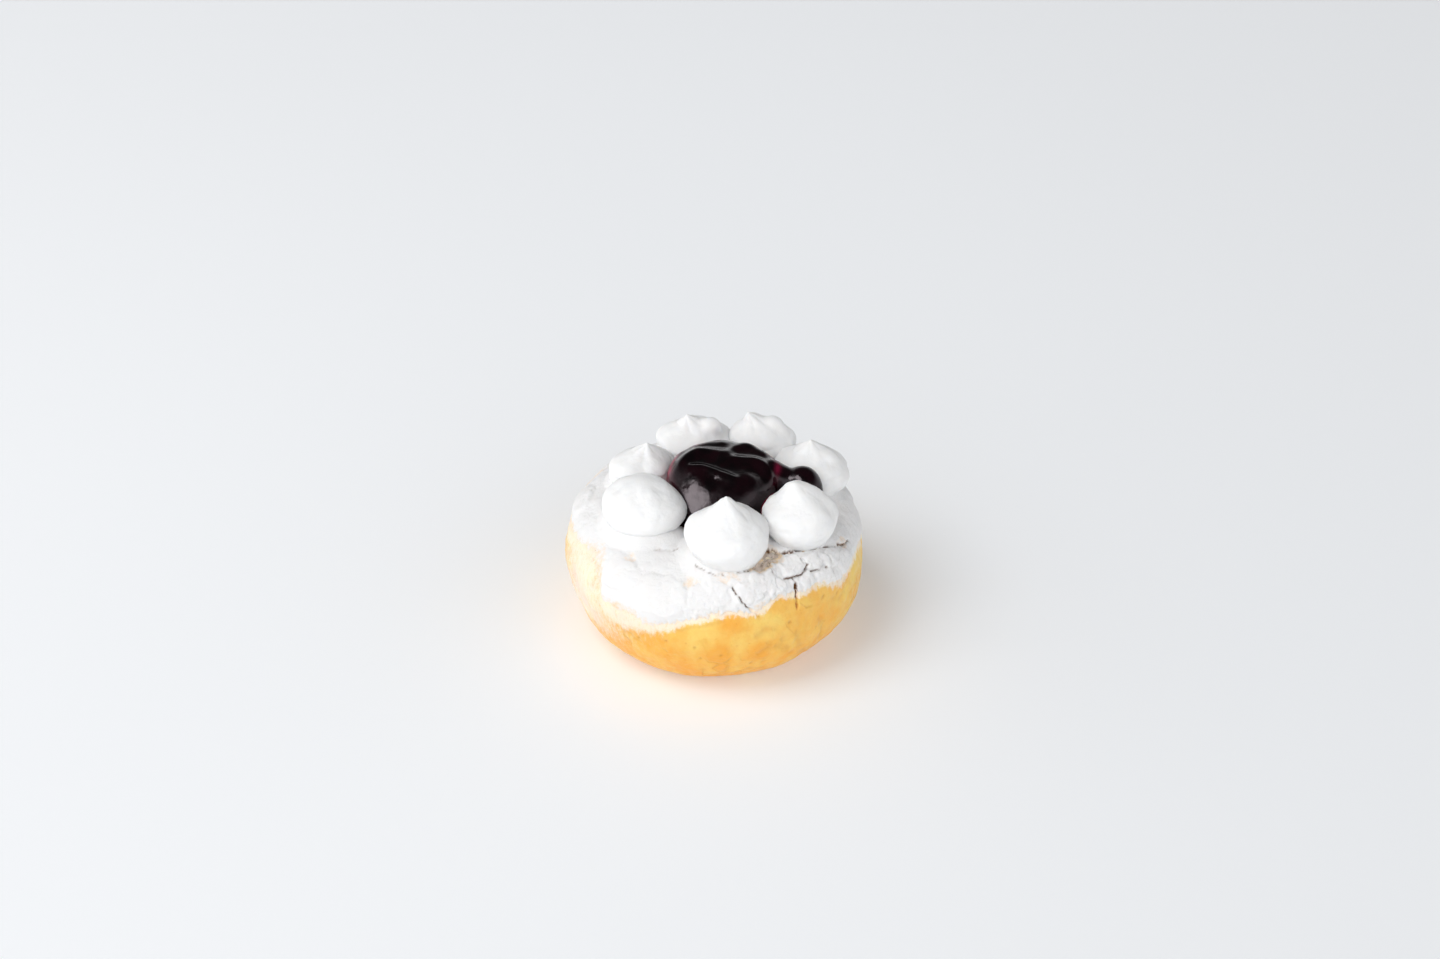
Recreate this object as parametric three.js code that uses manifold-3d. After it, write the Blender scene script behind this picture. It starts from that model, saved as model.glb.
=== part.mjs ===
import * as THREE from 'three';
import * as BufferGeometryUtils from 'three/addons/utils/BufferGeometryUtils.js';
import Module from 'manifold-3d';

// A ring doughnut: a tall ring of fried dough, a coat of icing sugar over its upper half,
// a ring of whipped cream dollops on its crown, and blueberry jam heaped in its hole.
// Millimetres, +Z up. The origin is the middle of the flat underside.

const wasm = await Module();
wasm.setup();

// The dough ring
const RING_RADIUS = 43; // from the axis to the widest part of the ring
const CROWN_RADIUS = 25; // from the axis to the circle along the top of the ring
const HOLE_RADIUS = 6.5; // the hole where it is narrowest
const EQUATOR_HEIGHT = 24.5; // the widest part, above the flat underside
const CROWN_RISE = 15.9; // the top of the dough, above the widest part
const BELLY_DROP = 25.5; // how far the round section would reach below the widest part
const UPPER_POWER = 2.3; // superellipse power of the section: 2 is round, more is squarer
const LOWER_POWER = 1.95;
const BELLY_BULGE = 1.3; // the dough swells this much further out low down on one side
const BULGE_AZIMUTH = -30; // degrees: the side that swells
const RING_COLUMNS = 48; // facets round the ring
const SECTION_ROWS = 26; // facets round its section

// The sugar coat
const GAP = 0.3; // clearance between pieces that rest on each other
const COAT_THICKNESS = 0.8; // at its thickest
const COAT_RIM = 0.35; // at its edges
const COAT_EDGE_HEIGHT = 28.5; // mean height of its ragged lower edge
// The lower edge wanders: each wave has its own height, count round the ring and azimuth of a crest
const COAT_WAVES = [{ height: 2.2, count: 1, crest: -70 }, { height: 1.2, count: 3, crest: -75 }];
const COAT_SLIDE_SHARE = 0.6; // the share of the coat's height that follows the wandering edge
const COAT_TAPER = 0.2; // the share of the coat's width over which each edge thins out
const COAT_INNER_ANGLE = 124; // degrees round the section: where it ends inside the hole's mouth
const COAT_ROWS = 13;

// The cream dollops, each as it stands on the crown: azimuth in degrees and reach from the middle of
// their circle, its own radius and height, and how far its tip leans in x and y
const CREST_HEIGHT = EQUATOR_HEIGHT + CROWN_RISE + GAP + COAT_THICKNESS;
const CREAM_CENTRE_X = 3; // the circle of dollops is set a little to one side of the ring's axis
const DOLLOPS = [
  { azimuth: -87, reach: 25.6, radius: 11.8, height: 18.0, lean: [-0.8, 0.0] },
  { azimuth: -35, reach: 27.0, radius: 11.0, height: 16.0, lean: [-2.0, 0.5] },
  { azimuth: 19, reach: 26.5, radius: 10.5, height: 14.2, lean: [0.6, 0.0] },
  { azimuth: 64, reach: 26.7, radius: 9.2, height: 13.8, lean: [-3.6, 0.0] },
  { azimuth: 109, reach: 24.6, radius: 10.4, height: 13.4, lean: [0.4, 0.0] },
  { azimuth: 157, reach: 24.8, radius: 9.0, height: 12.6, lean: [1.6, 0.0] },
  { azimuth: 206, reach: 24.5, radius: 10.9, height: 13.2, lean: [0.5, 0.5] },
];
const DOLLOP_COLUMNS = 20;
// Half outline of a dollop, as shares of its radius and height, from the middle of its foot to its tip
const DOLLOP_OUTLINE = [
  [0, -0.34], [0.55, -0.3], [0.86, -0.06], [1, 0.24], [0.92, 0.46], [0.66, 0.65], [0.34, 0.79], [0, 1],
];
const DOLLOP_ROWS = 13;

// The blueberry jam
const MOUND_RADIUS = 16.5; // the mound between the dollops
const MOUND_RISE = 13; // above the crest of the coat
const MOUND_FOOT = 8; // the mound's underside, below the crest
// Half outline of the mound, as shares of its radius and of its rise or, below the crest, its foot
const MOUND_OUTLINE = [[0, -1], [0.75, -0.8], [1, 0], [0.97, 0.45], [0.74, 0.88], [0, 1]];
const PLUG_BOTTOM = 14; // the jam fills the hole down to this height
const PLUG_RADIUS = 16; // more than the hole's mouth, so that the dough shapes the plug
const PLUG_SAG = 1.2; // how far the plug's underside hangs in the middle
const MOUND_COLUMNS = 28;
const MOUND_ROWS = 9;
const TONGUE_RADIUS = 4.6; // the tongue that runs out between two dollops
const TONGUE_STEPS = 6;
// The tongue's middle line: reach from the middle of the mound, sideways shift, and height above the crest
const TONGUE_LINE = [[9, 1, 8], [16, 0, 8.4], [21, -1.8, 7.4], [25.3, -2.4, 6.2]];
const TONGUE_FACETS = 8; // in each half of its round section
const BLOB_RADIUS = 5.2; // the rounded end of the tongue

const degrees = THREE.MathUtils.degToRad;

// Section of the ring at an angle round it: 0 at the widest part, 90 at the crown, 180 at the hole
function sectionPoint(angle, offset = 0) {
  const across = Math.cos(angle);
  const up = Math.sin(angle);
  const width = (across >= 0 ? RING_RADIUS - CROWN_RADIUS : CROWN_RADIUS - HOLE_RADIUS) + offset;
  const rise = (up >= 0 ? CROWN_RISE : BELLY_DROP) + offset;
  const power = up >= 0 ? UPPER_POWER : LOWER_POWER;
  const radius = CROWN_RADIUS + Math.sign(across) * width * Math.abs(across) ** (2 / power);
  const height = EQUATOR_HEIGHT + Math.sign(up) * rise * Math.abs(up) ** (2 / power);
  return new THREE.Vector2(radius, height);
}

// Angle below the widest part at which the flat underside cuts the section
function baseAngle(offset = 0) {
  return Math.asin((EQUATOR_HEIGHT / (BELLY_DROP + offset)) ** (LOWER_POWER / 2));
}

// Turns a half outline, radius across and height up, round the Z axis
function turned(outline, columns) {
  return new THREE.LatheGeometry(outline, columns).rotateX(Math.PI / 2);
}

// Moves every corner of a turned shape by a rule in radius, height and azimuth
function reshape(geometry, rule) {
  const corners = geometry.getAttribute('position');
  for (let i = 0; i < corners.count; i++) {
    const azimuth = Math.atan2(corners.getY(i), corners.getX(i));
    const [radius, height] = rule(Math.hypot(corners.getX(i), corners.getY(i)), corners.getZ(i), azimuth);
    corners.setXYZ(i, radius * Math.cos(azimuth), radius * Math.sin(azimuth), height);
  }
  return geometry;
}

// The dough swells low down on one side, and not at all at the hole
function swell(radius, height, azimuth) {
  const depth = THREE.MathUtils.clamp(1 - height / EQUATOR_HEIGHT, 0, 1);
  const outward = THREE.MathUtils.clamp((radius - CROWN_RADIUS) / (RING_RADIUS - CROWN_RADIUS), 0, 1);
  const side = Math.cos(azimuth - degrees(BULGE_AZIMUTH));
  return [radius + BELLY_BULGE * side * outward * Math.sin(Math.PI * depth), height];
}

function doughShape(offset = 0) {
  const start = -baseAngle(offset);
  const sweep = Math.PI - 2 * start;
  const outline = [];
  for (let row = 0; row <= SECTION_ROWS; row++) {
    outline.push(sectionPoint(start + (sweep * row) / SECTION_ROWS, offset));
  }
  outline.push(outline[0].clone());
  return reshape(turned(outline, RING_COLUMNS), swell);
}

// Height of the coat's lower edge at an azimuth: it wanders up and down round the ring
function coatEdge(azimuth) {
  const waves = COAT_WAVES.map(({ height, count, crest }) => (
    height * Math.cos(count * (azimuth - degrees(crest)))));
  return waves.reduce((sum, wave) => sum + wave, COAT_EDGE_HEIGHT);
}

// Radius of the dough's flank at a height above the widest part
function flankRadius(height) {
  const share = (height - EQUATOR_HEIGHT) / CROWN_RISE;
  return CROWN_RADIUS + (RING_RADIUS - CROWN_RADIUS) * (1 - share ** UPPER_POWER) ** (1 / UPPER_POWER);
}

// Slides the lower part of the coat along the dough's flank, so that its edge follows coatEdge
function hangCoat(radius, height, azimuth) {
  const reach = COAT_SLIDE_SHARE * (CREST_HEIGHT - COAT_EDGE_HEIGHT);
  const hold = THREE.MathUtils.clamp((height - COAT_EDGE_HEIGHT) / reach, 0, 1);
  if (radius < CROWN_RADIUS || hold === 1) return [radius, height];
  const slid = height + (coatEdge(azimuth) - COAT_EDGE_HEIGHT) * (1 - hold);
  return [radius + flankRadius(slid) - flankRadius(height), slid];
}

// The coat is a thin skin over the dough, thinner at its two edges; margin grows it all round
function coatShape(margin = 0) {
  const share = (COAT_EDGE_HEIGHT - EQUATOR_HEIGHT) / CROWN_RISE;
  const start = Math.asin(share ** (UPPER_POWER / 2)) - margin / RING_RADIUS;
  const sweep = degrees(COAT_INNER_ANGLE) + margin / CROWN_RISE - start;
  const outside = [];
  const inside = [];
  for (let row = 0; row <= COAT_ROWS; row++) {
    const along = row / COAT_ROWS;
    const body = Math.min(1, along / COAT_TAPER, (1 - along) / COAT_TAPER);
    const thickness = COAT_RIM + (COAT_THICKNESS - COAT_RIM) * body;
    outside.push(sectionPoint(start + sweep * along, GAP + thickness + margin));
    inside.unshift(sectionPoint(start + sweep * along, GAP - margin));
  }
  const outline = [...outside, ...inside, outside[0].clone()];
  return reshape(turned(outline, RING_COLUMNS), hangCoat);
}

function dollopShape({ radius, height, lean }, margin = 0) {
  const outline = new THREE.SplineCurve(DOLLOP_OUTLINE.map(([across, up]) => new THREE.Vector2(
    across * (radius + margin), up * (height + margin),
  ))).getPoints(DOLLOP_ROWS);
  const shape = turned(outline, DOLLOP_COLUMNS);
  const corners = shape.getAttribute('position');
  for (let i = 0; i < corners.count; i++) {
    const raised = Math.max(0, corners.getZ(i) / height) ** 2;
    corners.setX(i, corners.getX(i) + lean[0] * raised);
    corners.setY(i, corners.getY(i) + lean[1] * raised);
  }
  return shape;
}

function dollopPlace({ azimuth, reach }) {
  const x = CREAM_CENTRE_X + reach * Math.cos(degrees(azimuth));
  const y = reach * Math.sin(degrees(azimuth));
  return new THREE.Vector3(x, y, CREST_HEIGHT);
}

// A closed manifold solid of a geometry moved to a place
function solid(geometry, place = new THREE.Vector3()) {
  const shape = geometry.clone().translate(place.x, place.y, place.z);
  shape.deleteAttribute('normal');
  shape.deleteAttribute('uv');
  const merged = BufferGeometryUtils.mergeVertices(shape, 1e-4);
  const corners = merged.getIndex().array;
  const faces = [];
  for (let i = 0; i < corners.length; i += 3) {
    const [a, b, c] = corners.slice(i, i + 3);
    if (a !== b && b !== c && c !== a) faces.push(a, b, c);
  }
  return new wasm.Manifold(new wasm.Mesh({
    numProp: 3,
    vertProperties: new Float32Array(merged.getAttribute('position').array),
    triVerts: new Uint32Array(faces),
  }));
}

function geometryOf(body) {
  const { vertProperties, triVerts } = body.getMesh();
  const geometry = new THREE.BufferGeometry();
  geometry.setAttribute('position', new THREE.BufferAttribute(vertProperties, 3));
  geometry.setIndex(new THREE.BufferAttribute(triVerts, 1));
  geometry.computeVertexNormals();
  return geometry;
}

function named(name, geometry, finish) {
  const mesh = new THREE.Mesh(geometry, new THREE.MeshStandardMaterial(finish));
  mesh.name = name;
  return mesh;
}

// The dollops stand on the coated ring, and each is pressed in where it meets the one before it
function creamDollops() {
  const seat = solid(doughShape(2 * GAP + COAT_THICKNESS));
  const bodies = [];
  DOLLOPS.forEach((dollop, i) => {
    const before = DOLLOPS[(i + DOLLOPS.length - 1) % DOLLOPS.length];
    let body = solid(dollopShape(dollop), dollopPlace(dollop)).subtract(seat);
    body = body.subtract(solid(dollopShape(before, GAP), dollopPlace(before)));
    bodies.push(body);
  });
  return bodies;
}

// Mound, tongue and plug are one mass of jam, shaped by the dough, the coat and the cream round it
function jamBody() {
  const centre = new THREE.Vector3(CREAM_CENTRE_X, 0, CREST_HEIGHT);
  const mound = new THREE.SplineCurve(MOUND_OUTLINE.map(([across, up]) => new THREE.Vector2(
    across * MOUND_RADIUS, up * (up < 0 ? MOUND_FOOT : MOUND_RISE),
  ))).getPoints(MOUND_ROWS);
  const plug = [
    new THREE.Vector2(0, PLUG_BOTTOM - PLUG_SAG),
    new THREE.Vector2(HOLE_RADIUS, PLUG_BOTTOM),
    new THREE.Vector2(PLUG_RADIUS, PLUG_BOTTOM + PLUG_SAG),
    new THREE.Vector2(PLUG_RADIUS, EQUATOR_HEIGHT + CROWN_RISE),
    new THREE.Vector2(0, CREST_HEIGHT),
  ];
  const line = new THREE.CatmullRomCurve3(TONGUE_LINE.map(([reach, sideways, up]) => (
    new THREE.Vector3(reach, sideways, up))));
  const round = new THREE.Shape().absarc(0, 0, TONGUE_RADIUS, 0, 2 * Math.PI);
  const tongue = new THREE.ExtrudeGeometry(round, {
    steps: TONGUE_STEPS, extrudePath: line, curveSegments: TONGUE_FACETS, bevelEnabled: false,
  });
  const blob = new THREE.SphereGeometry(BLOB_RADIUS, 2 * TONGUE_FACETS, TONGUE_FACETS);
  blob.translate(...line.getPoint(1).toArray());
  let body = solid(turned(mound, MOUND_COLUMNS), centre);
  body = body.add(solid(turned(plug, MOUND_COLUMNS)));
  body = body.add(solid(tongue, centre)).add(solid(blob, centre));
  body = body.subtract(solid(doughShape(GAP))).subtract(solid(coatShape(GAP)));
  for (const dollop of DOLLOPS) {
    body = body.subtract(solid(dollopShape(dollop, GAP), dollopPlace(dollop)));
  }
  return body;
}

const ring = new THREE.Group();
ring.add(named('dough_ring', doughShape(), { color: 0xf0b25a, roughness: 0.6, metalness: 0 }));
ring.add(named('sugar_coat', coatShape(), { color: 0xf6f3ef, roughness: 0.95, metalness: 0 }));
ring.add(named('blueberry_jam', geometryOf(jamBody()), { color: 0x2a0a1c, roughness: 0.12, metalness: 0 }));
creamDollops().forEach((body, i) => {
  const finish = { color: 0xfbfbfa, roughness: 0.55, metalness: 0 };
  ring.add(named(`cream_dollop_${i + 1}`, geometryOf(body), finish));
});

// The whole doughnut is set so that the middle of its outline lies over the origin
const extent = new THREE.Box3().setFromObject(ring);
ring.position.set(-(extent.min.x + extent.max.x) / 2, -(extent.min.y + extent.max.y) / 2, -extent.min.z);

export default ring;
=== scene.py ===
import math

import bmesh
import bpy
import numpy as np
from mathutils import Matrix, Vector


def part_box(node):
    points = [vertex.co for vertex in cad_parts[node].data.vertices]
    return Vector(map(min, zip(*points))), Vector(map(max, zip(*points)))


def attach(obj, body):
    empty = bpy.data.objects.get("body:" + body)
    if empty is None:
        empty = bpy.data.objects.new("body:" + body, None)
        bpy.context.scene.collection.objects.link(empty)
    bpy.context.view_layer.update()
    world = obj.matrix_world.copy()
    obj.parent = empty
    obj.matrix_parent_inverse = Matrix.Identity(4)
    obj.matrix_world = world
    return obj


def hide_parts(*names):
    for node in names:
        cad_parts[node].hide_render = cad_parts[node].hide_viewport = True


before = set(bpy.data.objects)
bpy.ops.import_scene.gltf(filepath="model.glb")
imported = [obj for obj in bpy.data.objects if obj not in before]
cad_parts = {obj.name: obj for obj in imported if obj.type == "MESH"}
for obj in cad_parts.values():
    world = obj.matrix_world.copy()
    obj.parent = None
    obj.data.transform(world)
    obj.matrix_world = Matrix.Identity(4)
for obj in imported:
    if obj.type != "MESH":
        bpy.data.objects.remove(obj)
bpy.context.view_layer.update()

# The looks of a ring doughnut: fried dough, a cracked crust of icing sugar, seven piped dollops of
# whipped cream and a mass of blueberry jam. Shapes are worked out in millimetres, in the CAD's frame.

MM = 0.001


def box_mm(node):
    """Lowest and highest corner of a CAD node, in millimetres."""
    low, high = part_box(node)
    return np.array(low) / MM, np.array(high) / MM


# The ring of dough
DOUGH_LOW, DOUGH_HIGH = box_mm("dough_ring")
AXIS = (DOUGH_LOW + DOUGH_HIGH) / 2
RING_RADIUS = (DOUGH_HIGH - DOUGH_LOW)[:2].mean() / 2
CROWN_RADIUS = 0.58 * RING_RADIUS       # the circle along the top of the ring
HOLE_RADIUS = 0.15 * RING_RADIUS        # the hole where it is narrowest
EQUATOR = 0.607 * DOUGH_HIGH[2]         # height of the widest part
CROWN_RISE = DOUGH_HIGH[2] - EQUATOR
BELLY_DROP = 1.04 * EQUATOR             # the round section would reach a little below the flat base
UPPER_POWER = 2.3                       # superellipse powers of the section
LOWER_POWER = 1.95
BULGE = 1.3                             # the belly swells this much on one side
BULGE_AZIMUTH = -30                     # degrees
COAT_HIGH = box_mm("sugar_coat")[1][2]  # top of the sugar crust
COAT_TOP = COAT_HIGH - DOUGH_HIGH[2]    # sugar and clearance over the dough

DETAIL_AZIMUTH = -62                    # degrees: the side with the cracks gets the finest mesh
DETAIL_WIDTH = 48
FLANK_AZIMUTH = -152                    # the flank on which the sugar fades out slowly
FLANK_WIDTH = 32                        # how wide that stretch is, for the sugar's edge
VEIL_WIDTH = 26                         # and for the powder on the dough below it
ROUGH_AZIMUTH = -55                     # where the crust is roughest
ROUGH_WIDTH = 38
FRONT_AZIMUTH = -100                    # where the dough is fried darkest

# Where the sugar ends, as azimuth and angle round the section, both in degrees (0 is the widest part)
SUGAR_EDGE = [
    (-178, 20), (-164, 24), (-157, 31), (-150, 37), (-145, 35), (-140, 22), (-137, -4), (-120, -4),
    (-106, 2), (-97, 12), (-83, 20), (-76, 15), (-71, 18), (-64, 27), (-55, 23), (-48, 24), (-41, 19),
    (-32, 8), (-24, 12), (-14, 16), (5, 6), (40, 14), (70, 5), (100, 11), (130, 4), (160, 14),
]
SUGAR_INNER_ANGLE = 124                 # where it ends in the mouth of the hole
SUGAR_LOWEST_ANGLE = -20                # where its mesh starts, under the edge
MM_PER_DEGREE = 0.30                    # what a degree round the section is on the flank
CRUST_ROOM = 0.45                       # mm between the plain crust and the CAD's, for plates and lumps
SKIN_DIP = 0.3                          # mm: how deep in the dough the skin lies where no sugar is
UNDERSIDE = -1.6                        # mm: where the back of the skin lies, inside the dough

# Cracks and creases are routes of (azimuth, section angle) in degrees, with a width and depth in mm;
# painted shade darkens them by their depth
SUGAR_CRACKS = [
    dict(route=[(-55, 42), (-55, 32), (-56, 22), (-56, 10)], width=0.36, depth=2.0),
    dict(route=[(-82, 47), (-80, 37), (-76, 24), (-72, 12)], width=0.22, depth=1.2),
    dict(route=[(-59, 45), (-55, 44), (-50, 43), (-46, 48)], width=0.30, depth=1.1),
    dict(route=[(-46, 42), (-42, 38), (-38, 36)], width=0.28, depth=1.0),
    dict(route=[(-60, 80), (-55, 75), (-51, 69), (-47, 68)], width=0.36, depth=1.4),
    dict(route=[(-45, 67), (-42, 64), (-39, 61)], width=0.55, depth=1.6),
    dict(route=[(-38, 59), (-33, 53), (-27, 46)], width=0.30, depth=1.1),
    dict(route=[(-25, 44), (-21, 38), (-17, 35)], width=0.36, depth=1.2),
    dict(route=[(-57, 72), (-62, 71), (-66, 66), (-74, 62), (-80, 61)], width=0.30, depth=0.9),
    dict(route=[(-84, 60), (-90, 62), (-95, 66), (-99, 71)], width=0.28, depth=0.7),
    dict(route=[(-61, 67), (-63, 60), (-62, 52)], width=0.28, depth=0.7),
    dict(route=[(-47, 60), (-46, 52), (-47, 45)], width=0.26, depth=0.6),
    dict(route=[(-36, 52), (-34, 42), (-36, 31)], width=0.24, depth=0.5),
    dict(route=[(-63, 48), (-64, 38), (-67, 28)], width=0.24, depth=0.5),
    dict(route=[(-124, 80), (-118, 83), (-112, 86)], width=0.34, depth=0.7),
    dict(route=[(30, 46), (37, 38), (36, 26)], width=0.34, depth=0.9),
    dict(route=[(121, 52), (113, 40), (115, 27)], width=0.32, depth=0.8),
]
# Plates of crust that stand a little proud: azimuth, angle, half width, half height and lift in mm
CRUST_PLATES = [
    (-53, 55, 3.4, 3.3, 0.90), (-43, 49, 3.0, 2.6, 0.75), (-33, 42, 3.6, 3.0, 0.65),
    (-68, 51, 4.2, 3.8, 0.60), (-63, 36, 2.6, 3.6, 0.55), (-49, 35, 2.2, 2.4, 0.35),
    (-40, 29, 3.4, 3.0, 0.55), (-76, 40, 4.4, 3.2, 0.50), (-92, 40, 6.0, 4.5, 0.30),
    (-112, 34, 8.0, 6.0, 0.35), (-135, 42, 9.0, 5.0, 0.35), (-26, 27, 3.4, 3.4, 0.35),
    (20, 42, 6.0, 4.5, 0.40), (52, 34, 5.0, 5.0, 0.35), (95, 44, 7.0, 4.5, 0.40),
    (140, 38, 6.0, 5.0, 0.40), (172, 46, 6.0, 4.0, 0.40),
]
# Bare or nearly bare places in the sugar: centre, half width and half height in mm, and how bare
SUGAR_THIN = [
    dict(at=(-60, 72), across=3.6, along=3.2, bare=0.95),
    dict(at=(-67, 65), across=4.2, along=2.2, bare=0.9),
    dict(at=(-42, 64), across=1.1, along=0.8, bare=0.9),
    dict(at=(-22, 40), across=2.6, along=2.0, bare=0.35),
    dict(at=(-99, 53), across=2.4, along=1.8, bare=0.35),
    dict(at=(-84, 58), across=4.0, along=1.8, bare=0.3),
    dict(at=(-127, 2), across=8.0, along=3.6, bare=0.5),
    dict(at=(-132, 60), across=2.0, along=1.8, bare=0.3),
    dict(at=(-70, 22), across=4.0, along=2.4, bare=0.35),
    dict(at=(60, 20), across=7.0, along=4.0, bare=0.5),
    dict(at=(150, 36), across=6.0, along=4.0, bare=0.4),
]
DOUGH_CREASES = [
    dict(route=[(-73, -5), (-70, -1), (-66, -4), (-63, -13)], width=1.1, depth=0.34),
    dict(route=[(-72, -20), (-68, -16), (-63, -18), (-58, -28)], width=1.2, depth=0.34),
    dict(route=[(-57, -10), (-55, -22), (-52, -34), (-48, -48)], width=1.3, depth=0.38),
    dict(route=[(-46, -8), (-43, -18), (-43, -30)], width=1.0, depth=0.38),
    dict(route=[(-38, 2), (-34, -3), (-30, -2)], width=0.8, depth=0.25),
    dict(route=[(-104, 0), (-95, 6), (-86, 12)], width=0.7, depth=0.25),
    dict(route=[(-150, 36), (-143, 26), (-142, 14), (-149, 4)], width=1.6, depth=0.45),
    dict(route=[(-166, 12), (-160, 2), (-158, -10)], width=1.6, depth=0.45),
    dict(route=[(20, -8), (30, -13), (42, -9)], width=1.2, depth=0.35),
    dict(route=[(95, -14), (104, -20), (118, -18)], width=1.4, depth=0.35),
    dict(route=[(165, -6), (174, -13), (183, -14)], width=1.0, depth=0.38),
]
# Small pits in the dough: azimuth, angle and radius in mm; painted shade darkens them
DOUGH_PITS = [
    (-60, 0, 0.55), (-43, 9, 0.45), (-35, 2, 0.45), (-97, -12, 0.4), (-87, -19, 0.4),
    (-95, -23, 0.35), (-108, -9, 0.35), (-75, -31, 0.35), (-120, -14, 0.35), (-47, -14, 0.35),
    (15, -20, 0.5), (60, -9, 0.5), (88, -2, 0.5), (140, -16, 0.5), (172, -25, 0.5), (-160, -10, 0.45),
]
PIT_DEPTH = 0.45

# The cream: how each dollop was piped, in the order of the CAD's numbers, with lengths in mm.
# width: share of the CAD dollop's radius; place: how far the dollop is moved;
# turn: azimuth at which its coil starts; coil: depth of the coil's step;
# lean: how far its tip is drawn aside; blunt: 0 for a peaked outline, 1 for a dome;
# seed: of its unevenness; fillet: how high the sugar is gathered round its foot;
# lobes: folds of cream, each at an azimuth and a share of the height, with its size and how far it
# stands out. PLAIN is what most of them share.
PLAIN = dict(width=1.0, place=(0.0, 0.0), lean=(0.0, 0.0), blunt=0.0)
CREAM = [
    dict(PLAIN, width=0.955, place=(0.35, 0.1), turn=215, coil=0.35, lean=(-0.9, 0.2), seed=3,
         fillet=0.9, lobes=[(172, 0.46, 3.6, 1.3), (200, 0.2, 6.0, 0.4), (190, 0.88, 1.1, 0.5)]),
    dict(PLAIN, width=0.95, turn=340, coil=0.35, lean=(-1.9, 0.2), blunt=0.3, seed=14, fillet=0.2,
         lobes=[(200, 0.45, 5.0, 0.2), (20, 0.5, 4.5, 0.3)]),
    dict(PLAIN, turn=330, coil=0.80, seed=25, fillet=0.5,
         lobes=[(-25, 0.32, 4.2, 1.1), (-15, 0.64, 2.4, 1.3), (-70, 0.25, 5.0, 0.5)]),
    dict(PLAIN, turn=300, coil=0.90, lean=(-4.3, 0.0), seed=36, fillet=0.8,
         lobes=[(5, 0.72, 2.6, 2.0), (-10, 0.5, 3.2, 1.8), (-40, 0.3, 4.0, 0.9)]),
    dict(PLAIN, turn=290, coil=0.75, lean=(-2.6, 0.0), seed=47, fillet=0.8,
         lobes=[(-10, 0.72, 2.6, 2.6), (185, 0.5, 5.0, 1.2), (230, 0.3, 5.0, 0.8)]),
    dict(PLAIN, turn=310, coil=0.60, lean=(0.6, 0.0), seed=58, fillet=1.6,
         lobes=[(-60, 0.55, 3.0, 1.0), (200, 0.4, 6.0, 1.6)]),
    dict(PLAIN, turn=250, coil=0.40, lean=(-1.5, 0.8), blunt=0.7, seed=69, fillet=2.3,
         lobes=[(-20, 0.45, 5.0, 0.8), (150, 0.5, 5.0, 1.2), (200, 0.4, 6.0, 1.4)]),
]
CREAM_FOLD = 0.34                       # mm: how far the soft folds up a dollop's flank stand out
COIL_TURNS = 2.3                        # turns of the coil from foot to tip
# A dollop's outline from its foot to its tip: share of the radius and share of the height
DOLLOP_OUTLINE = [
    (0.52, -0.34), (0.66, -0.22), (0.79, -0.11), (0.89, 0.0), (0.96, 0.10), (0.995, 0.20), (1.0, 0.30),
    (0.96, 0.40), (0.86, 0.49), (0.72, 0.565), (0.56, 0.64), (0.41, 0.72), (0.28, 0.80), (0.18, 0.87),
    (0.10, 0.925), (0.05, 0.965), (0.018, 0.99), (0.0, 1.0),
]
SHOULDER = 0.29                         # share of the height from which a blunt dollop is a dome

# The jam, from the middle of its mound in mm, at the height of the top of the sugar
MOUND_PLACE = 3.0                       # how far the mound sits off the ring's axis
MOUND_RISE = 12.5
MOUND_DEPTH = 9.0
MOUND_RADIUS = 16.9
MOUND_POWER = 3.8                       # how square its shoulder is
# Ridges over the top of the mound, as routes in plan
JAM_RIDGES = [
    dict(route=[(-14, -3.5), (-11.5, 1.5), (-7, 4.8), (-2.5, 3.4), (1.2, 0.6), (6, 0), (11.5, -1.5),
                (14, -5)], width=2.3, height=1.7),
    dict(route=[(-10, -3), (-6, -3.6), (-2, -6.2), (3, -9.4)], width=1.8, height=1.3),
    dict(route=[(1.5, 4.2), (4.5, 8), (7.5, 9), (11.5, 5)], width=1.9, height=0.9),
    dict(route=[(-12, 6.5), (-7, 9.8), (-1, 9.6)], width=1.8, height=0.6),
]
# Lumps and hollows in it: x, y, size and height
JAM_LUMPS = [
    (-9.0, -11.0, 4.0, 1.8), (6.5, -8.5, 3.8, 0.7), (-4.0, -9.5, 2.6, -0.9), (10.5, -5.0, 2.6, -0.8),
]
# The smooth slope at its front left, which mirrors the window: nothing stands above this surface
SLOPE_PLACE = (-8.8, -11.2, 7.6)        # a point on it
SLOPE_NORMAL = (-0.405, -0.61, 0.681)   # the way it faces there
SLOPE_CURVE = 60.0                      # it drops by the distance squared over this
# The tongue that runs out between two dollops, as a chain of balls: x, y, z and radius
TONGUE = [
    (13, 0, 7.5, 5.0), (16.2, -0.9, 6.8, 4.4), (18.8, -1.8, 6.8, 3.9), (21.0, -2.3, 7.5, 3.9),
    (22.9, -3.0, 8.1, 4.1), (24.1, -4.6, 6.8, 4.2), (24.8, -6.2, 4.6, 3.8),
]
PLUG_RADIUS = 11.0                      # the jam that fills the hole
JAM_VOXEL = 0.34                        # mm: how finely the parts of the jam are melted into one

# The camera, in metres and degrees, from the middle of the ring's widest part
CAMERA_ELEVATION = 34.6
CAMERA_DISTANCE = 0.991
CAMERA_LENS = 85                        # mm
CAMERA_SENSOR = 36                      # mm
AIM_RIGHT = 0.0019
AIM_UP = 0.0191

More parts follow.
